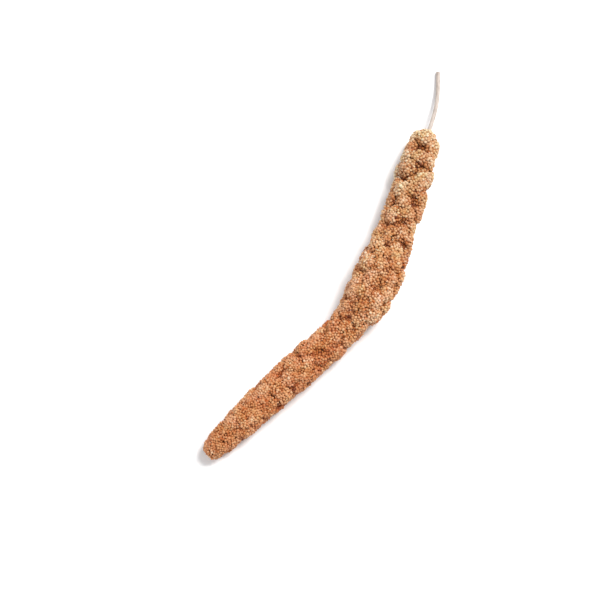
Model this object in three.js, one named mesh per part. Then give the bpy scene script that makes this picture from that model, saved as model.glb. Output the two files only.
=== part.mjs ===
// A dried head of foxtail millet, cut with a length of bare stem and lying on its side.
// Millimetres, +Z up, with the surface that it lies on at z = 0. The stem points to +Y, and the
// head bends towards -X on its way to the tip. The stem runs on through the head as its rachis.
// Each seed cluster is one branch of the rachis: a short neck that widens into a lobe of seeds.
import * as THREE from "three";

// Lengths along the curved axis, and the stem's thickness
const HEAD_LENGTH = 250;
const STEM_LENGTH = 50;
const TIP_LENGTH = 18;
const STEM_RADIUS = 1.3;

// These tables go by station: the distance along the axis from where the head begins, with the
// stem at negative stations. Between two rows the value eases from one to the next.
// Heading in plan, in degrees from -Y towards -X
const HEADINGS = [[-STEM_LENGTH, 2], [0, 20], [32, 17], [89, 21.5], [162, 48], [HEAD_LENGTH, 46.5]];
// Height of the axis above the surface
const HEIGHTS = [
  [-STEM_LENGTH, 1.5], [0, 8.6], [37, 10.6], [109, 13.4],
  [147, 10.2], [182, 10.2], [215, 9], [HEAD_LENGTH, 5.8],
];
// Radius of the head over the crowns of its lobes, before its two ends are rounded
const RADII = [
  [9, 9.9], [37, 11.6], [72, 12.5], [105, 14.7], [115, 14.5], [147, 10.1],
  [169, 11.2], [197, 10.9], [215, 9.9], [231, 8.4], [HEAD_LENGTH, 6.4],
];
const SHOULDER_ROUND = 8;
const TIP_ROUND = 9;
const AXIS_STEP = 5;

// The clusters follow a spiral round the rachis, each a little off its place
const CLUSTER_COUNT = 57;
const CLUSTER_START = 0.5;
const CLUSTER_END = HEAD_LENGTH - TIP_LENGTH;
const CROWDING = 0.12;
const GOLDEN_ANGLE = Math.PI * (3 - Math.sqrt(5));
const MEAN_RADIUS = 11;
const GIRTH = 2 * Math.PI * MEAN_RADIUS;
const SITE_JITTER = 2.4;
const CROWN_JITTER = 0.07;
const CLUSTER_GAP = 0.8;
const NECK_GAP = 0.4;
const LEAST_LOBE = 1;
const LEAST_REACH = 2;
const OUTLINE_POINTS = 10;

// One lobe from its neck to the rim of its crown: how far out it is between rachis and crown,
// and how much of the cluster's own room it fills along the axis and around it
const LOBE_RINGS = [
  { out: 0.0, along: 0.16, around: 0.45 },
  { out: 0.25, along: 0.55, around: 0.65 },
  { out: 0.55, along: 0.92, around: 0.94 },
  { out: 0.78, along: 1.0, around: 1.0 },
  { out: 0.92, along: 0.74, around: 0.74 },
  { out: 0.985, along: 0.4, around: 0.4 },
];
const TIP_RINGS = 6;
const STEM_SIDES = 10;

const SEED_FINISH = { color: 0xc58a61, roughness: 0.6, metalness: 0 };
const STEM_FINISH = { color: 0xcdb9a8, roughness: 0.7, metalness: 0 };

// A repeatable random number from -1 to 1
let randomState = 20;
function jitter() {
  randomState = (randomState * 1664525 + 1013904223) % 4294967296;
  return (randomState / 4294967296) * 2 - 1;
}

function valueAt(table, station) {
  const next = table.findIndex(([start]) => start >= station);
  if (next === 0) return table[0][1];
  if (next < 0) return table[table.length - 1][1];
  const [start, before] = table[next - 1];
  const [end, after] = table[next];
  return THREE.MathUtils.lerp(before, after, THREE.MathUtils.smoothstep(station, start, end));
}

// The quarter ellipse that rounds an end: 1 where the rounding begins, 0 at the end itself
function roundedEnd(distance, length) {
  const share = THREE.MathUtils.clamp(distance / length, 0, 1);
  return Math.sqrt(1 - share * share);
}

function headRadius(station) {
  const shoulder = roundedEnd(SHOULDER_ROUND - station, SHOULDER_ROUND);
  const tip = roundedEnd(station - (HEAD_LENGTH - TIP_ROUND), TIP_ROUND);
  return valueAt(RADII, station) * shoulder * tip;
}

function layAxis() {
  const points = [];
  const place = new THREE.Vector2();
  for (let station = -STEM_LENGTH; station <= HEAD_LENGTH; station += AXIS_STEP) {
    points.push(new THREE.Vector3(place.x, place.y, valueAt(HEIGHTS, station)));
    const heading = THREE.MathUtils.degToRad(valueAt(HEADINGS, station + AXIS_STEP / 2));
    place.x -= Math.sin(heading) * AXIS_STEP;
    place.y -= Math.cos(heading) * AXIS_STEP;
  }
  return new THREE.CatmullRomCurve3(points);
}

const axis = layAxis();

// A point at a station, turned round the axis from straight up, and no lower than the surface
function pointAt(station, turn, radius) {
  const fraction = (station + STEM_LENGTH) / (STEM_LENGTH + HEAD_LENGTH);
  const point = axis.getPointAt(fraction);
  const tangent = axis.getTangentAt(fraction);
  const side = new THREE.Vector3(0, 0, 1).cross(tangent).normalize();
  const up = tangent.clone().cross(side);
  point.addScaledVector(up, Math.cos(turn) * radius);
  point.addScaledVector(side, Math.sin(turn) * radius);
  point.z = Math.max(point.z, 0);
  return point;
}

// A closed skin over rings of equal size, from a first end point to a last one
function skin(first, rings, last) {
  const size = rings[0].length;
  const points = [first, ...rings.flat(), last];
  const corner = (ring, index) => 1 + ring * size + (index % size);
  const triangles = [];
  for (let index = 0; index < size; index += 1) {
    triangles.push(0, corner(0, index + 1), corner(0, index));
    for (let ring = 0; ring + 1 < rings.length; ring += 1) {
      const low = corner(ring, index);
      const lowNext = corner(ring, index + 1);
      const high = corner(ring + 1, index);
      const highNext = corner(ring + 1, index + 1);
      triangles.push(low, lowNext, highNext, low, highNext, high);
    }
    const rim = rings.length - 1;
    triangles.push(corner(rim, index), corner(rim, index + 1), points.length - 1);
  }
  const geometry = new THREE.BufferGeometry().setFromPoints(points);
  geometry.setIndex(triangles);
  geometry.computeVertexNormals();
  return geometry;
}

// Places on the unrolled head: x is the station, y the distance round the girth
function spiralSites() {
  const sites = [];
  for (let index = 0; index < CLUSTER_COUNT; index += 1) {
    const share = (index + 0.5) / CLUSTER_COUNT;
    const eased = share + CROWDING * share * (1 - share);
    const round = ((index * GOLDEN_ANGLE) / (2 * Math.PI)) % 1;
    const station = THREE.MathUtils.lerp(CLUSTER_START, CLUSTER_END, eased) + jitter() * SITE_JITTER;
    const first = CLUSTER_START + LEAST_REACH;
    sites.push(new THREE.Vector2(Math.max(station, first), round * GIRTH + jitter() * SITE_JITTER));
  }
  return sites;
}

// How far a cluster reaches from its site before it meets the next one half way
function reach(site, sites, angle) {
  const direction = new THREE.Vector2(Math.cos(angle), Math.sin(angle));
  const end = direction.x > 0 ? CLUSTER_END : CLUSTER_START;
  let distance = Math.abs((end - site.x) / direction.x);
  for (const other of sites) {
    for (const wrap of [-GIRTH, 0, GIRTH]) {
      const offset = other.clone().sub(site);
      offset.y += wrap;
      const ahead = direction.dot(offset);
      if (ahead > 0) distance = Math.min(distance, offset.lengthSq() / (2 * ahead));
    }
  }
  return distance - CLUSTER_GAP / 2;
}

function clusterGeometry(site, sites) {
  const crown = 1 + jitter() * CROWN_JITTER;
  const neck = STEM_RADIUS + NECK_GAP;
  const place = (station, round, out) => {
    const top = Math.max(headRadius(station) * crown, neck + LEAST_LOBE);
    return pointAt(station, round / MEAN_RADIUS, THREE.MathUtils.lerp(neck, top, out));
  };
  const rings = LOBE_RINGS.map(() => []);
  for (let index = 0; index < OUTLINE_POINTS; index += 1) {
    const angle = (index / OUTLINE_POINTS) * 2 * Math.PI;
    const distance = reach(site, sites, angle);
    LOBE_RINGS.forEach(({ out, along, around }, ring) => {
      const station = site.x + Math.cos(angle) * distance * along;
      const round = site.y + Math.sin(angle) * distance * around;
      rings[ring].push(place(station, round, out));
    });
  }
  return skin(place(site.x, site.y, 0), rings, place(site.x, site.y, 1));
}

// The last cluster closes the head round the end of the rachis
function tipGeometry() {
  const start = CLUSTER_END + NECK_GAP;
  const rings = [];
  for (let ring = 0; ring < TIP_RINGS; ring += 1) {
    const share = Math.sin((ring / TIP_RINGS) * (Math.PI / 2));
    const station = THREE.MathUtils.lerp(start, HEAD_LENGTH, share);
    const outline = [];
    for (let index = 0; index < OUTLINE_POINTS; index += 1) {
      const turn = (-index / OUTLINE_POINTS) * 2 * Math.PI;
      outline.push(pointAt(station, turn, headRadius(station)));
    }
    rings.push(outline);
  }
  return skin(pointAt(start, 0, 0), rings, pointAt(HEAD_LENGTH, 0, 0));
}

function stemGeometry() {
  const section = new THREE.Shape().absarc(0, 0, STEM_RADIUS, 0, 2 * Math.PI);
  const points = [];
  for (let station = -STEM_LENGTH; station < CLUSTER_END; station += AXIS_STEP) {
    points.push(pointAt(station, 0, 0));
  }
  points.push(pointAt(CLUSTER_END, 0, 0));
  const extrudePath = new THREE.CatmullRomCurve3(points);
  const curveSegments = STEM_SIDES / 2;
  return new THREE.ExtrudeGeometry(section, { steps: points.length, curveSegments, extrudePath });
}

function addPiece(group, name, geometry, finish) {
  const mesh = new THREE.Mesh(geometry, new THREE.MeshStandardMaterial(finish));
  mesh.name = name;
  group.add(mesh);
}

const head = new THREE.Group();
addPiece(head, "stem", stemGeometry(), STEM_FINISH);
const sites = spiralSites();
sites.forEach((site, index) => {
  const name = `seed_cluster_${String(index + 1).padStart(2, "0")}`;
  addPiece(head, name, clusterGeometry(site, sites), SEED_FINISH);
});
addPiece(head, "tip_cluster", tipGeometry(), SEED_FINISH);

// The origin is the middle of the surface under the head's outer box
const middle = new THREE.Box3().setFromObject(head).getCenter(new THREE.Vector3());
head.position.set(-middle.x, -middle.y, 0);

export default head;
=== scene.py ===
"""A dried head of foxtail millet with a length of its stem, lying on a pale floor.

The clusters of the frame are covered with one knobbly skin, seeds are packed over that skin, and
each seed goes to the cluster that it sits on. The stem becomes a ribbed straw with a cut end.
"""

import math
from types import SimpleNamespace

import bpy
import numpy as np
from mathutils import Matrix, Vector
from mathutils.bvhtree import BVHTree
from mathutils.kdtree import KDTree


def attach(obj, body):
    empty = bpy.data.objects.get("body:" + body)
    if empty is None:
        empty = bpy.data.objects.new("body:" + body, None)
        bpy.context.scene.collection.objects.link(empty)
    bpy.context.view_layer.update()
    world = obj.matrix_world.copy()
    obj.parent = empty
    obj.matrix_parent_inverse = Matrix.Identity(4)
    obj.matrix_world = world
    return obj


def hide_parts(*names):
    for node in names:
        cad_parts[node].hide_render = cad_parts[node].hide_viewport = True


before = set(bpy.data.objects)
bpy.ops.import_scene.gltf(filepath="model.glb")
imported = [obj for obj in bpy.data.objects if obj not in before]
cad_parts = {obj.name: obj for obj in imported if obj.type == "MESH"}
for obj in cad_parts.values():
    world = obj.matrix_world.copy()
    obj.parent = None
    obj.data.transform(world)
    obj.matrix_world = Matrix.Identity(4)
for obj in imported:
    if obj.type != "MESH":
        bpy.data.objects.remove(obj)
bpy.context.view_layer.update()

MM = 0.001
TINY = 1e-9
STEM_NODE = "stem"
TIP_NODE = "tip_cluster"
cluster_names = sorted(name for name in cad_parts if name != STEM_NODE)
RANDOM_SEED = 4
rng = np.random.default_rng(RANDOM_SEED)

# The view, in the frame's millimetres and degrees
VIEW_CENTRE = (-21.3, -30.99, 10.0)
VIEW_DISTANCE = 592.0
VIEW_ELEVATION = 72.0
VIEW_LENS = 60.0

# The studio, in metres and watts
KEY_LIGHT = {"place": (0.7, 0.5, 1.2), "size": 0.7, "power": 30, "colour": (1, 0.98, 0.96)}
FILL_LIGHT = {"place": (-1.0, -0.5, 1.0), "size": 1.2, "power": 8, "colour": (0.97, 0.98, 1)}
SKY_STRENGTH = 0.46
FLOOR_REACH = 3.0
FLOOR_COLOUR = (0.92, 0.92, 0.93)
FLOOR_ROUGHNESS = 0.7

# Sizes below are in millimetres. A pair is the value where the head begins and at its tip.
# The skin over the clusters: its grid, how it finds the crowns, and how far it stands over them
SKIN_STEP = 0.7
SKIN_COLUMNS = 104
RING_GAP = 1.2
CAST_REACH = 40.0
CROWN_PERCENTILE = 85
CROWN_SPAN = 3
SKIN_RAISE = (0.1, -0.1)
# The knobs that each cluster is broken into, and the lumps on them
KNOB_AREA = (140.0, 52.0)
KNOB_ROUNDS = 12
KNOB_DROP = (4.7, 1.1)
KNOB_ROUNDNESS = 1.02
KNOB_UNEVEN = (0.4, 0.15)
DOME_SQUARENESS = 1.8
LUMP_PITCH = 5.5
LUMP_DROP = (0.4, 0.1)
# The deepest and the highest that the skin may go, as shares of the head's radius
RELIEF_LIMITS = (-0.6, 0.1)

# Seeds: half sizes across, through and along, and how they are packed
SEED_HALF = (1.14, 1.06, 1.18)
SEED_PITCH = (1.45, 1.08)
SEED_TRIES = 110000
SEED_INSET = 0.4
SEED_LEAN = 0.35
SEED_TILT = 0.45
SEED_SINK = 0.15
SEED_SIZE_SPREAD = 0.15
INNER_PITCH = (1.6, 1.1)
INNER_TRIES = 60000
INNER_INSET = 0.8
EVEN_ROUNDS = 2
EVEN_REACH = 1.35
PUSH_SHARE = 0.25
# The shape of one seed with half sizes of 1: how full and tapered it is, its flat side and its point
SEED_FULLNESS = 0.85
SEED_TAPER = 0.1
SEED_FLAT_SIDE = 0.85
SEED_POINT = 1.12

# Papery flakes of husk between the seeds: half sizes, the share of seeds that have one, and how far it
# lies above and beside its seed's spot
FLAKE_HALF = (0.55, 0.2, 0.85)
FLAKE_SHARE = 0.12
FLAKE_RISE = 0.3
FLAKE_ASIDE = 1.0

# How pale a seed is, from 0 to 1: on the whole, by chance, by its knob, by its depth in a crease,
# by how near it is to the head's beginning, and in the inner layer. The crease term is painted shade,
# partly also the redder, less bleached seeds in the creases; the inner layer's term is painted shade
# under the outer seeds
PALENESS = 0.51
PALEST = 0.95
SEED_CHANCE = (0.13, 0.1)
KNOB_CHANCE = 0.08
CREASE_DEPTHS = (-4.4, -2.8, -1.2, 0.0)
CREASE_PAINTED_SHADES = (-0.54, -0.28, -0.07, 0.06)
TOP_REACHES = (0.0, 0.06, 0.12)
TOP_SHADES = (0.44, 0.08, 0.0)
INNER_PAINTED_SHADE = (-0.42, -0.22)
FLAKE_PALENESS = 0.9
# Stalks are darker than straw, as painted shade inside the head
STALK_SHADED_PALENESS = 0.4

# Stalks that carry the seeds inside a cluster: each forks on its way from the rachis to a knob
STALK_RADIUS = 0.55
STALK_TAPER = 0.4
STALK_SIDES = 5
STALK_RINGS = 3
FORK_SHARE = 0.5
TWIG_RADIUS = 0.22
TWIG_SPACING = 5

# The stem: its radius at the cut end and inside the head, its ribs, and its slanted cut
STEM_RADIUS = (1.38, 1.2)
STEM_STEP = 1.5
STEM_SIDES = 27
STEM_RIBS = 9
RIB_DEPTH = 0.05
PITH_SHARE = 0.6
PITH_DEPTH = 0.9
CUT_SLOPE = 0.35
CUT_FADE = 2
CUT_BEVEL = 0.1
STREAK_STRETCH = 0.04

# Room left free at the border of each patch of a map, as a share of it
MAP_MARGIN = 0.05
STEM_MAP_BANDS = 8

# Colours, each with its place on the scale that picks it
HUSK_AND_SHADE_COLOURS = [
    # The darkest stop is painted shade, reached mostly deep in the creases and in the inner layer
    (0.0, (0.15, 0.035, 0.012)),
    (0.15, (0.34, 0.095, 0.021)),
    (0.35, (0.48, 0.20, 0.075)),
    (0.6, (0.565, 0.305, 0.155)),
    (0.85, (0.65, 0.44, 0.27)),
    (1.0, (0.70, 0.56, 0.39)),
]
# The seeds' feet, down in the gaps: partly their own redder base, partly painted shade between the seeds
FOOT_AND_GAP_SHADE_COLOUR = (0.42, 0.11, 0.022)
LENGTH_TINTS = [
    (0.0, (0.92, 1.0, 1.0)),
    (0.12, (0.87, 0.95, 0.98)),
    (0.4, (0.97, 1.0, 1.0)),
    (0.65, (0.94, 0.82, 0.74)),
]
PATCH_TINTS = [
    (0.3, (1.0, 0.975, 1.1)),
    (0.5, (1.0, 1.0, 1.0)),
    (0.7, (0.98, 1.02, 0.89)),
]
STRAW_COLOURS = [
    (0.3, (0.25, 0.20, 0.17)),
    (0.5, (0.42, 0.36, 0.32)),
    (0.7, (0.58, 0.51, 0.46)),
]
# The part of a noise's range that most of it falls in
NOISE_RANGE = (0.3, 0.7)
# The husks: the grain of their speckle and of the slow changes of shade and hue, how much the shade
# changes, how a seed's point is lighter than its waist, partly as a painted highlight, where its foot
# ends, whose darker, redder colour is partly painted shade between the seeds, and its gloss and bump
SPECKLE_NOISE = {"scale": 1500, "detail": 3}
SHADE_NOISE = {"scale": 80, "detail": 2}
HUE_NOISE = {"scale": 130, "detail": 3}
SHADE_CHANGE = (-0.1, 0.1)
POINT_RISES = (0.5, 1.0)
POINT_TONE_AND_HIGHLIGHTS = (-0.05, 0.05)
FOOT_RISES = (0.15, 0.65)
HUSK_ROUGHNESS = (0.42, 0.62)
HUSK_SPECULAR = 0.25
HUSK_BUMP = {"strength": 0.25, "distance": 0.0001}
# The straw: the grain of its streaks, and its gloss and bump
STREAK_NOISE = {"scale": 5, "detail": 4}
STRAW_ROUGHNESS = (0.45, 0.7)
STRAW_BUMP = {"strength": 0.3, "distance": 0.0002}


def unit(vectors):
    length = np.linalg.norm(vectors, axis=-1, keepdims=True)
    return vectors / np.maximum(length, TINY)


def along_head(along, pair):
    """A value that changes from the head's beginning to its tip."""
    return np.interp(along, (0, 1), pair)


def node_surface(name):
    """A CAD part's corner points, in millimetres, and its triangles."""
    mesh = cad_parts[name].data
    mesh.calc_loop_triangles()
    points = np.empty(len(mesh.vertices) * 3)
    mesh.vertices.foreach_get("co", points)
    triangles = np.empty(len(mesh.loop_triangles) * 3, dtype=np.int32)
    mesh.loop_triangles.foreach_get("vertices", triangles)
    return points.reshape(-1, 3) / MM, triangles.reshape(-1, 3)


def closed_skin(rings, segments):
    """Faces over rings of points that start at one end point and finish at another, facing outwards.

    Also the place of each face corner on a map, with the turn round the rings across and the rings up.
    """
    faces = []
    places = []
    last = 1 + rings * segments
    for segment in range(segments):
        after = (segment + 1) % segments
        faces.append((0, 1 + after, 1 + segment))
        places.append(((segment + 0.5, 0), (segment + 1, 1), (segment, 1)))
        for ring in range(1, rings):
            low = 1 + (ring - 1) * segments
            high = low + segments
            faces.append((low + segment, low + after, high + after, high + segment))
            near = (segment, ring), (segment + 1, ring)
            far = (segment + 1, ring + 1), (segment, ring + 1)
            places.append((*near, *far))
        low = 1 + (rings - 1) * segments
        faces.append((low + segment, low + after, last))
        places.append(((segment, rings), (segment + 1, rings), (segment + 0.5, rings + 1)))
    size = np.array((segments, rings + 1))
    return faces, [np.array(corners) / size for corners in places]


# The head's skin

def all_clusters():
    """One search tree over all clusters, the name of the cluster behind each triangle, and all corners."""
    points = []
    triangles = []
    owners = []
    count = 0
    for name in cluster_names:
        own_points, own_triangles = node_surface(name)
        points.extend(own_points.tolist())
        triangles.extend((own_triangles + count).tolist())
        owners.extend([name] * len(own_triangles))
        count += len(own_points)
    return BVHTree.FromPolygons(points, triangles), owners, np.array(points)


def stem_rings():
    """The middle of each ring of the stem's tube, from the cut end on."""
    points, _ = node_surface(STEM_NODE)
    points = points[np.argsort(-points[:, 1])]
    breaks = np.flatnonzero(-np.diff(points[:, 1]) > RING_GAP) + 1
    return np.array([ring.mean(axis=0) for ring in np.split(points, breaks)])


def even_steps(corners, step):
    """Points at even steps along a line through corner points."""
    along = np.r_[0, np.cumsum(np.linalg.norm(np.diff(corners, axis=0), axis=1))]
    stations = np.linspace(0, along[-1], round(along[-1] / step) + 1)
    return np.stack([np.interp(stations, along, corners[:, axis]) for axis in range(3)], axis=1)


def directions(line):
    """The way ahead at each point of a line that lies about level, and the ways to the side and up."""
    ahead = unit(np.gradient(line, axis=0))
    side = unit(np.cross((0, 0, 1), ahead))
    return ahead, side, np.cross(ahead, side)


def head_axis(cluster_points):
    """The rachis inside the head, carried on to the tip, as points at even steps."""
    rings = stem_rings()
    ahead = unit(rings[-1] - rings[-2])
    tip_points, _ = node_surface(TIP_NODE)
    tip = tip_points[((tip_points - rings[-1]) @ ahead).argmax()]
    line = even_steps(np.vstack([rings, tip]), SKIN_STEP)
    gaps = np.linalg.norm(cluster_points[:, None] - line[None], axis=2)
    return line[gaps.argmin(axis=1).min():]


def crown_radii(line, outward, tree):
    """How far the crowns of the clusters reach out from the axis at each of its points."""
    radii = np.zeros(outward.shape[:2])
    for cell in np.ndindex(radii.shape):
        start = Vector(line[cell[0]] + outward[cell] * CAST_REACH)
        place, _, _, distance = tree.ray_cast(start, Vector(-outward[cell]), CAST_REACH)
        if place is not None:
            radii[cell] = CAST_REACH - distance
    spans = [radii[max(0, row - CROWN_SPAN):row + CROWN_SPAN + 1] for row in range(len(line))]
    return np.array([np.percentile(span, CROWN_PERCENTILE) for span in spans])


def smooth_outside(line, tree):
    """The ways out from each point of the axis, and how far the head reaches that way above the floor."""
    _, side, up = directions(line)
    turns = -np.linspace(0, 2 * np.pi, SKIN_COLUMNS, endpoint=False)[None, :, None]
    outward = np.cos(turns) * up[:, None] + np.sin(turns) * side[:, None]
    crowns = crown_radii(line, outward, tree) + along_head(np.linspace(0, 1, len(line)), SKIN_RAISE)
    down = np.maximum(-outward[:, :, 2], TINY)
    return outward, np.minimum(crowns[:, None], line[:, None, 2] / down)


def cell_areas(grid):
    """The patch of skin round each point of a grid whose columns run round."""
    along = np.linalg.norm(np.gradient(grid, axis=0), axis=2)
    wrapped = np.concatenate([grid[:, -1:], grid, grid[:, :1]], axis=1)
    around = np.linalg.norm(np.gradient(wrapped, axis=1), axis=2)[:, 1:-1]
    return along * around


def place_knobs(points, areas, along, owners):
    """The knobs of all clusters: a cluster is shared evenly among as many as it has room for."""
    sites = []
    sizes = []
    names = []
    for name in cluster_names:
        own = np.flatnonzero(owners == name)
        room = along_head(along[own].mean(), KNOB_AREA)
        count = max(1, round(areas[own].sum() / room))
        middles = points[rng.choice(own, count, replace=False)]
        for _ in range(KNOB_ROUNDS):
            nearest = np.linalg.norm(points[own, None] - middles[None], axis=2).argmin(axis=1)
            middles = np.array([points[own[nearest == knob]].mean(axis=0) for knob in range(count)])
        sites.extend(middles)
        sizes.extend(areas[own[nearest == knob]].sum() for knob in range(count))
        names.extend([name] * count)
    return SimpleNamespace(
        sites=np.array(sites),
        reaches=np.sqrt(np.array(sizes) / np.pi) * KNOB_ROUNDNESS,
        along=along[[np.linalg.norm(points - site, axis=1).argmin() for site in sites]],
        names=names,
    )


def dome_relief(points, lowest, middles, reaches, drops, crowns):
    """How far each point lies under the domes over some middles, where the domes meet in creases."""
    relief = -lowest
    for middle, reach, drop, crown in zip(middles, reaches, drops, crowns):
        share = ((points - middle) ** 2).sum(axis=1) / reach ** 2
        near = share < 1
        dome = crown - drop * (1 - np.sqrt(1 - share[near] ** DOME_SQUARENESS))
        relief[near] = np.maximum(relief[near], dome)
    return relief


def knob_relief(points, along, knobs):
    """The height of the knobs, some of which stand out more than others."""
    crowns = rng.normal(size=len(knobs.names)) * along_head(knobs.along, KNOB_UNEVEN)
    drops = along_head(knobs.along, KNOB_DROP)
    return dome_relief(points, along_head(along, KNOB_DROP), knobs.sites, knobs.reaches, drops, crowns)


def lump_relief(points, along):
    """The height of the lumps, which lie all over the head."""
    order = rng.permutation(len(points))
    reaches = np.full(len(points), LUMP_PITCH)
    lumps = order[thin_out(points[order], reaches)]
    drops = along_head(along, LUMP_DROP)
    return dome_relief(points, drops, points[lumps], reaches[lumps], drops[lumps], np.zeros(len(lumps)))


def point_normals(points, triangles):
    corners = points[triangles]
    flat = np.cross(corners[:, 1] - corners[:, 0], corners[:, 2] - corners[:, 0])
    normals = np.zeros_like(points)
    for corner in range(3):
        np.add.at(normals, triangles[:, corner], flat)
    return unit(normals)


def make_skin(tree, triangle_owners, cluster_points):
    """The head's knobbly surface, with the knobs that it is made of."""
    line = head_axis(cluster_points)
    outward, radii = smooth_outside(line, tree)
    grid = line[:, None] + outward * radii[:, :, None]
    points = grid.reshape(-1, 3)
    along = np.repeat(np.linspace(0, 1, len(line)), SKIN_COLUMNS)
    owners = np.array([triangle_owners[tree.find_nearest(point)[2]] for point in points])
    knobs = place_knobs(points, cell_areas(grid).ravel(), along, owners)
    relief = knob_relief(points, along, knobs)
    relief += lump_relief(points, along)
    knobs.tints = rng.normal(size=len(knobs.names)) * KNOB_CHANCE

    deepest, highest = (radii.ravel() * limit for limit in RELIEF_LIMITS)
    points = points + outward.reshape(-1, 3) * np.clip(relief, deepest, highest)[:, None]
    points = np.vstack([points[:SKIN_COLUMNS].mean(axis=0), points, points[-SKIN_COLUMNS:].mean(axis=0)])
    faces, _ = closed_skin(len(line), SKIN_COLUMNS)
    triangles = np.array([(face[0], *face[n:n + 2]) for face in faces for n in range(1, len(face) - 1)])
    ahead, _, _ = directions(line)
    return SimpleNamespace(
        points=points,
        triangles=triangles,
        normals=point_normals(points, triangles),
        along=np.r_[0, along, 1],
        relief=np.r_[0, relief, 0],
        ahead=np.vstack([ahead[:1], np.repeat(ahead, SKIN_COLUMNS, axis=0), ahead[-1:]]),
        knobs=knobs,
        line=line,
    )


# Packing

def thin_out(spots, pitches):
    """Which spots to keep, in their order, so that none lies within its pitch of another."""
    cell = pitches.max()
    kept = {}
    chosen = []
    steps = [(x, y, z) for x in (-1, 0, 1) for y in (-1, 0, 1) for z in (-1, 0, 1)]
    homes = np.floor(spots / cell).astype(int).tolist()
    for index, (x, y, z) in enumerate(homes):
        spot = Vector(spots[index])
        near = (other for dx, dy, dz in steps for other in kept.get((x + dx, y + dy, z + dz), ()))
        if all((spot - other).length_squared >= pitches[index] ** 2 for other in near):
            kept.setdefault((x, y, z), []).append(spot)
            chosen.append(index)
    return np.array(chosen)


def search_tree(spots):
    tree = KDTree(len(spots))
    for index, spot in enumerate(spots):
        tree.insert(spot, index)
    tree.balance()
    return tree


def push_apart(spots, reaches):
    """Spots moved away from those that are nearer than their reach."""
    tree = search_tree(spots)
    moved = spots.copy()
    for index, (spot, reach) in enumerate(zip(spots, reaches)):
        for place, other, gap in tree.find_range(spot, reach):
            if other != index:
                moved[index] += (spot - np.array(place)) / gap * (reach - gap) * PUSH_SHARE
    return moved


def pack_spots(skin, inset, pitch_pair, tries):
    """Spots packed at a depth below the skin, each with its normal and what the skin says there."""
    points = skin.points - skin.normals * inset
    corners = points[skin.triangles]
    area = np.linalg.norm(np.cross(corners[:, 1] - corners[:, 0], corners[:, 2] - corners[:, 0]), axis=1)
    chosen = rng.choice(len(corners), size=tries, p=area / area.sum())
    weights = rng.dirichlet((1, 1, 1), size=tries)[:, :, None]
    spots = (corners[chosen] * weights).sum(axis=1)
    pitches = along_head(skin.along[skin.triangles[chosen, 0]], pitch_pair)
    kept = thin_out(spots, pitches)
    spots, pitches = spots[kept], pitches[kept]
    tree = BVHTree.FromPolygons(points.tolist(), skin.triangles.tolist())
    for _ in range(EVEN_ROUNDS):
        found = [tree.find_nearest(spot) for spot in push_apart(spots, pitches * EVEN_REACH)]
        spots = np.array([place for place, _, _, _ in found])
    faces = skin.triangles[[face for _, _, face, _ in found]]
    return SimpleNamespace(
        places=spots,
        normals=unit(skin.normals[faces].mean(axis=1)),
        along=skin.along[faces].mean(axis=1),
        relief=skin.relief[faces].mean(axis=1),
        ahead=unit(skin.ahead[faces].mean(axis=1)),
    )


def pick(spots, chosen):
    """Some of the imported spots."""
    return SimpleNamespace(**{name: values[chosen] for name, values in vars(spots).items()})


# Pieces

class PieceBuilder:
    """Collects small shapes into one mesh, with a square of the map and a few values for each of them."""

    def __init__(self):
        self.points = []
        self.faces = []
        self.places = []
        self.values = {"tone": [], "rise": [], "along": []}
        self.count = 0

    def add(self, shape, points, tone, along):
        size = len(points)
        self.points.append(points)
        self.faces.extend([tuple(corner + self.count for corner in face) for face in shape.faces])
        self.places.append(np.concatenate(shape.places))
        self.values["tone"].append(np.full(size, tone))
        self.values["rise"].append(shape.rise)
        self.values["along"].append(np.full(size, along))
        self.count += size

    def map_places(self):
        """Every shape's skin in a square of its own."""
        columns = math.ceil(math.sqrt(len(self.places)))
        squares = [
            (np.array(divmod(index, columns)) + within_margin(places)) / columns
            for index, places in enumerate(self.places)
        ]
        return np.concatenate(squares)

    def build(self, name, material):
        values = {label: np.concatenate(parts) for label, parts in self.values.items()}
        places = self.map_places()
        return new_piece(name, np.concatenate(self.points), self.faces, places, values, material)


def within_margin(places):
    """Places from 0 to 1 drawn in from the border of their patch of the map."""
    return MAP_MARGIN + places * (1 - 2 * MAP_MARGIN)


def new_piece(name, points, faces, places, values, material):
    """A smooth mesh object from points in millimetres, its map places and its point values."""
    mesh = bpy.data.meshes.new(name)
    mesh.from_pydata((points * MM).tolist(), [], faces)
    for label, numbers in values.items():
        layer = mesh.attributes.new(label, "FLOAT", "POINT")
        layer.data.foreach_set("value", numbers.astype(np.float32))
    mesh.uv_layers.new(name="OFBake").data.foreach_set("uv", places.astype(np.float32).ravel())
    mesh.polygons.foreach_set("use_smooth", np.ones(len(mesh.polygons), dtype=bool))
    mesh.materials.append(material)
    mesh.update()
    piece = bpy.data.objects.new(name, mesh)
    bpy.context.scene.collection.objects.link(piece)
    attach(piece, "root")
    return piece


# Seeds and stalks

def seed_shape(segments, rings):
    """A seed of half sizes 1 with its point up, flatter on one side."""
    points = [(0, 0, -1)]
    for latitude in np.linspace(-math.pi / 2, math.pi / 2, rings + 2)[1:-1]:
        height = math.sin(latitude)
        radius = math.cos(latitude) ** SEED_FULLNESS * (1 - SEED_TAPER * height)
        for turn in np.linspace(0, 2 * math.pi, segments, endpoint=False):
            through = radius * math.sin(turn)
            through *= SEED_FLAT_SIDE if through < 0 else 1
            points.append((radius * math.cos(turn), through, height))
    points.append((0, 0, SEED_POINT))
    points = np.array(points)
    faces, places = closed_skin(rings, segments)
    return SimpleNamespace(points=points, faces=faces, places=places, rise=(points[:, 2] + 1) / 2)


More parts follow.
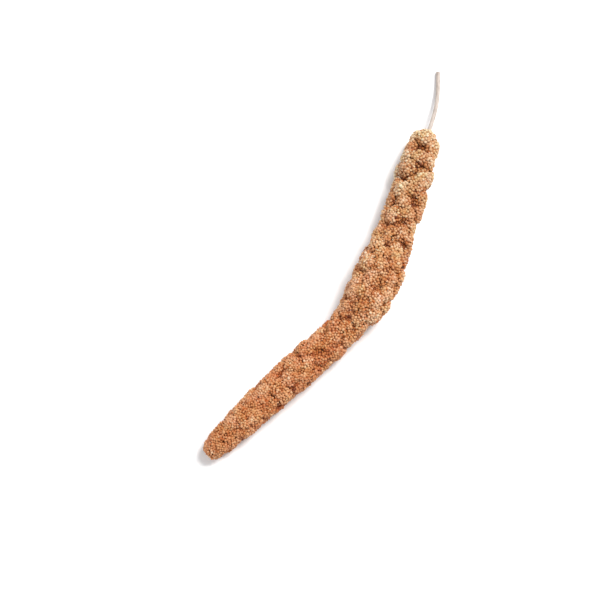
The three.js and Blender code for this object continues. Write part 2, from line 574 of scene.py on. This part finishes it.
def stalk_shape(start, end, radius):
    """A thin tapering stalk from one point to another."""
    way = unit(end - start)
    side = unit(np.cross(way, np.eye(3)[np.abs(way).argmin()]))
    up = np.cross(way, side)
    points = [start]
    for share in np.linspace(0, 1, STALK_RINGS):
        reach = radius * (1 - STALK_TAPER * share)
        for turn in np.linspace(0, 2 * np.pi, STALK_SIDES, endpoint=False):
            spread = side * math.cos(turn) + up * math.sin(turn)
            points.append(start + (end - start) * share + spread * reach)
    points.append(end)
    faces, places = closed_skin(STALK_RINGS, STALK_SIDES)
    return SimpleNamespace(points=np.array(points), faces=faces, places=places, rise=np.zeros(len(points)))


def lay_seeds(shape, spots, half_sizes):
    """Copies of a seed at packed spots, each leaning its own way: an array of points for each copy."""
    count = len(spots.places)
    wander = rng.normal(size=(count, 3)) * SEED_TILT
    facing = unit(spots.normals + spots.ahead * SEED_LEAN + wander)
    across = unit(np.cross(facing, rng.normal(size=(count, 3))))
    through = np.cross(facing, across)
    sizes = 1 + rng.normal(size=count) * SEED_SIZE_SPREAD
    sizes *= along_head(spots.along, SEED_PITCH) / SEED_PITCH[0]
    half = np.array(half_sizes) * sizes[:, None]
    places = spots.places + spots.normals * rng.normal(size=(count, 1)) * SEED_SINK
    copies = places[:, None, :].repeat(len(shape.points), axis=1)
    for axis, direction in enumerate((across, through, facing)):
        copies += shape.points[None, :, axis, None] * (direction * half[:, axis, None])[:, None, :]
    copies[:, :, 2] += np.maximum(-copies[:, :, 2].min(axis=1), 0)[:, None]
    return copies


def seed_tones(spots, knobs):
    """How pale the seeds at some spots are."""
    tree = search_tree(knobs.sites)
    nearest = [tree.find(place)[1] for place in spots.places]
    # Painted shade: seeds are darker the deeper they lie in a crease between knobs, and paler on the
    # crowns; partly also the less bleached seeds there
    tones = PALENESS + np.interp(spots.relief, CREASE_DEPTHS, CREASE_PAINTED_SHADES)
    tones += rng.normal(size=len(tones)) * along_head(spots.along, SEED_CHANCE)
    tones += knobs.tints[nearest]
    tones += np.interp(spots.along, TOP_REACHES, TOP_SHADES)
    return np.clip(tones, 0, PALEST)


def scatter_flakes(seeds):
    """Spots for flakes of husk, beside and a little above those of seeds, and how pale the flakes are."""
    flakes = pick(seeds, rng.random(len(seeds.places)) < FLAKE_SHARE)
    aside = np.cross(flakes.normals, rng.normal(size=flakes.places.shape))
    flakes.places = flakes.places + flakes.normals * FLAKE_RISE + unit(aside) * FLAKE_ASIDE
    return flakes, FLAKE_PALENESS + rng.normal(size=len(flakes.places)) * SEED_CHANCE[0]


def add_stalks(builders, skin, inner):
    """A stalk from the rachis into each knob, with twigs from its end to some of the inner seeds."""
    knobs = skin.knobs
    roots = skin.line[[np.linalg.norm(skin.line - site, axis=1).argmin() for site in knobs.sites]]
    forks = roots + (knobs.sites - roots) * FORK_SHARE
    for root, fork, name, along in zip(roots, forks, knobs.names, knobs.along):
        stalk = stalk_shape(root, fork, STALK_RADIUS)
        builders[name].add(stalk, stalk.points, STALK_SHADED_PALENESS, along)
    tree = search_tree(knobs.sites)
    for place in inner.places[::TWIG_SPACING]:
        _, knob, _ = tree.find(place)
        twig = stalk_shape(forks[knob], place, TWIG_RADIUS)
        builders[knobs.names[knob]].add(twig, twig.points, STALK_SHADED_PALENESS, knobs.along[knob])


def make_clusters():
    tree, owners, cluster_points = all_clusters()
    skin = make_skin(tree, owners, cluster_points)
    outer = pack_spots(skin, SEED_INSET, SEED_PITCH, SEED_TRIES)
    inner = pack_spots(skin, INNER_INSET, INNER_PITCH, INNER_TRIES)
    flakes, flake_tones = scatter_flakes(outer)
    seed = seed_shape(segments=8, rings=5)
    small_seed = seed_shape(segments=6, rings=3)
    outer_tones = seed_tones(outer, skin.knobs)
    # The inner layer is made darker as painted shade under the outer seeds
    inner_tones = seed_tones(inner, skin.knobs) + along_head(inner.along, INNER_PAINTED_SHADE)
    layers = (
        (seed, outer, SEED_HALF, outer_tones),
        (small_seed, inner, SEED_HALF, inner_tones),
        (small_seed, flakes, FLAKE_HALF, flake_tones),
    )
    builders = {name: PieceBuilder() for name in cluster_names}
    for shape, spots, half_sizes, tones in layers:
        copies = lay_seeds(shape, spots, half_sizes)
        for index, points in enumerate(copies):
            face = tree.find_nearest(Vector(spots.places[index]))[2]
            builders[owners[face]].add(shape, points, tones[index], spots.along[index])
    add_stalks(builders, skin, inner)
    material = make_seed_material()
    for name, builder in builders.items():
        piece = builder.build(name + "_seeds", material)
        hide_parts(name)


# Stem

def make_stem():
    line = even_steps(stem_rings(), STEM_STEP)
    ahead, side, up = directions(line)
    length = len(line)
    radii = np.interp(np.linspace(0, 1, length), (0, 1), STEM_RADIUS)
    # Rings from the bottom of the pith's hollow to its rim, over the cut and along the stem, each with
    # its point of the line, how far it is set in from there and its share of the radius
    rings = [(0, PITH_DEPTH, PITH_SHARE / 2), (0, PITH_DEPTH, PITH_SHARE)]
    rings += [(0, 0, PITH_SHARE), (0, 0, 1 - CUT_BEVEL), (0, CUT_BEVEL, 1)]
    rings += [(index, 0, 1) for index in range(1, length)]
    turns = np.linspace(0, 2 * np.pi, STEM_SIDES, endpoint=False)
    ribs = 1 - RIB_DEPTH * (0.5 - 0.5 * np.cos(turns * STEM_RIBS))
    points = [line[0] + ahead[0] * PITH_DEPTH]
    for index, recess, share in rings:
        spread = np.cos(turns)[:, None] * up[index] - np.sin(turns)[:, None] * side[index]
        ring = line[index] + spread * (radii[index] * share * ribs)[:, None]
        slope = CUT_SLOPE * max(0, 1 - index / CUT_FADE)
        slant = (spread @ up[index] * radii[index] * share * slope)[:, None]
        points.extend(ring + ahead[index] * (recess + slant))
    points.append(line[-1])
    faces, places = closed_skin(len(rings), STEM_SIDES)
    stations = np.r_[0, np.repeat([index for index, _, _ in rings], STEM_SIDES), length - 1] * STEM_STEP
    around = np.r_[0, np.tile(turns, len(rings)), 0]
    values = {"streak": stations * STREAK_STRETCH, "across": np.cos(around), "over": np.sin(around)}
    piece = new_piece("stem_straw", np.array(points), faces, banded(places), values, make_straw_material())
    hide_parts(STEM_NODE)


def banded(places):
    """A long tube's map cut into bands that stand side by side."""
    found = []
    for corners in places:
        band = math.floor(corners[:, 1].min() * STEM_MAP_BANDS)
        across = (band + within_margin(corners[:, 0])) / STEM_MAP_BANDS
        upward = within_margin(corners[:, 1] * STEM_MAP_BANDS - band)
        found.append(np.stack([across, upward], axis=1))
    return np.concatenate(found)


# Materials

class Shading:
    """A material whose nodes are added one by one: each is made from the sockets of earlier ones."""

    def __init__(self, name):
        self.material = bpy.data.materials.new(name)
        self.material.use_nodes = True
        self.nodes = self.material.node_tree.nodes
        self.links = self.material.node_tree.links
        self.shader = self.nodes["Principled BSDF"]

    def node(self, kind, sources):
        """A new node with a source for some of its sockets."""
        node = self.nodes.new(kind)
        for socket, source in sources.items():
            self.links.new(source, node.inputs[socket])
        return node

    def place(self):
        return self.nodes.new("ShaderNodeTexCoord").outputs["Object"]

    def attribute(self, name):
        node = self.nodes.new("ShaderNodeAttribute")
        node.attribute_name = name
        return node.outputs["Fac"]

    def noise(self, vector, scale, detail):
        node = self.node("ShaderNodeTexNoise", {"Vector": vector})
        node.inputs["Scale"].default_value = scale
        node.inputs["Detail"].default_value = detail
        return node.outputs["Fac"]

    def remap(self, value, source, target):
        """A value's range turned into another one, without going past its ends."""
        node = self.node("ShaderNodeMapRange", {"Value": value})
        for socket, number in zip(("From Min", "From Max", "To Min", "To Max"), (*source, *target)):
            node.inputs[socket].default_value = number
        return node.outputs["Result"]

    def ramp(self, value, stops):
        """A colour picked from a scale by a value."""
        node = self.node("ShaderNodeValToRGB", {"Fac": value})
        elements = node.color_ramp.elements
        while len(elements) < len(stops):
            elements.new(0.5)
        for element, (place, colour) in zip(elements, stops):
            element.position = place
            element.color = (*colour, 1)
        return node.outputs["Color"]

    def total(self, first, second):
        node = self.node("ShaderNodeMath", {0: first, 1: second})
        node.operation = "ADD"
        return node.outputs["Value"]

    def product(self, first, second):
        """One colour times another."""
        node = self.node("ShaderNodeVectorMath", {0: first, 1: second})
        node.operation = "MULTIPLY"
        return node.outputs["Vector"]

    def blend(self, share, first, second):
        """A colour that goes over to another, given as three numbers, by a share."""
        node = self.node("ShaderNodeMixRGB", {"Fac": share, "Color1": first})
        node.inputs["Color2"].default_value = (*second, 1)
        return node.outputs["Color"]

    def bump(self, height, strength, distance):
        node = self.node("ShaderNodeBump", {"Height": height})
        node.inputs["Strength"].default_value = strength
        node.inputs["Distance"].default_value = distance
        return node.outputs["Normal"]

    def connect(self, value, socket):
        self.links.new(value, self.shader.inputs[socket])


def make_seed_material():
    """Husks that differ in shade from seed to seed, and slowly in shade and hue over the head, with
    painted shade at each seed's foot and a painted highlight at its point, both partly the husk's own
    colours.
    """
    look = Shading("seeds")
    place = look.place()
    speckle = look.noise(place, **SPECKLE_NOISE)
    rise = look.attribute("rise")
    tone = look.attribute("tone")
    tone = look.total(tone, look.remap(look.noise(place, **SHADE_NOISE), NOISE_RANGE, SHADE_CHANGE))
    # A seed's point is paler, partly as a painted highlight, and its foot darker and redder, partly as
    # painted shade between the seeds
    tone = look.total(tone, look.remap(rise, POINT_RISES, POINT_TONE_AND_HIGHLIGHTS))
    foot = look.remap(rise, FOOT_RISES, (1.0, 0.0))
    colour = look.blend(foot, look.ramp(tone, HUSK_AND_SHADE_COLOURS), FOOT_AND_GAP_SHADE_COLOUR)
    colour = look.product(colour, look.ramp(look.attribute("along"), LENGTH_TINTS))
    colour = look.product(colour, look.ramp(look.noise(place, **HUE_NOISE), PATCH_TINTS))
    look.connect(colour, "Base Color")
    look.connect(look.remap(speckle, NOISE_RANGE, HUSK_ROUGHNESS), "Roughness")
    look.connect(look.bump(speckle, **HUSK_BUMP), "Normal")
    look.shader.inputs["Specular IOR Level"].default_value = HUSK_SPECULAR
    return look.material


def make_straw_material():
    """Pale straw with streaks along the stem."""
    look = Shading("straw")
    sources = {"X": look.attribute("across"), "Y": look.attribute("over"), "Z": look.attribute("streak")}
    place = look.node("ShaderNodeCombineXYZ", sources).outputs["Vector"]
    streak = look.noise(place, **STREAK_NOISE)
    look.connect(look.ramp(streak, STRAW_COLOURS), "Base Color")
    look.connect(look.remap(streak, NOISE_RANGE, STRAW_ROUGHNESS), "Roughness")
    look.connect(look.bump(streak, **STRAW_BUMP), "Normal")
    return look.material


def make_floor_material():
    look = Shading("floor")
    look.shader.inputs["Base Color"].default_value = (*FLOOR_COLOUR, 1)
    look.shader.inputs["Roughness"].default_value = FLOOR_ROUGHNESS
    return look.material


# Scene

def add_camera():
    data = bpy.data.cameras.new("camera")
    data.lens = VIEW_LENS
    camera = bpy.data.objects.new("camera", data)
    elevation = math.radians(VIEW_ELEVATION)
    back = Vector((0, -math.cos(elevation), math.sin(elevation)))
    camera.location = (Vector(VIEW_CENTRE) + back * VIEW_DISTANCE) * MM
    camera.rotation_euler = (math.pi / 2 - elevation, 0, 0)
    bpy.context.scene.collection.objects.link(camera)
    bpy.context.scene.camera = camera


def add_light(name, place, size, power, colour):
    """A square lamp that faces the middle of the view."""
    data = bpy.data.lights.new(name, "AREA")
    data.size = size
    data.energy = power
    data.color = colour
    light = bpy.data.objects.new(name, data)
    light.location = place
    light.rotation_euler = (Vector(VIEW_CENTRE) * MM - Vector(place)).to_track_quat("-Z", "Y").to_euler()
    bpy.context.scene.collection.objects.link(light)


def add_sky():
    world = bpy.data.worlds.new("studio")
    world.use_nodes = True
    sky = world.node_tree.nodes["Background"]
    sky.inputs["Color"].default_value = (1, 1, 1, 1)
    sky.inputs["Strength"].default_value = SKY_STRENGTH
    bpy.context.scene.world = world
    bpy.context.scene.view_settings.view_transform = "Standard"


def add_floor():
    mesh = bpy.data.meshes.new("floor")
    corners = [(-1, -1, 0), (1, -1, 0), (1, 1, 0), (-1, 1, 0)]
    mesh.from_pydata([Vector(corner) * FLOOR_REACH for corner in corners], [], [(0, 1, 2, 3)])
    mesh.materials.append(make_floor_material())
    floor = bpy.data.objects.new("floor", mesh)
    bpy.context.scene.collection.objects.link(floor)


add_camera()
add_sky()
add_light("key", **KEY_LIGHT)
add_light("fill", **FILL_LIGHT)
add_floor()
make_clusters()
make_stem()
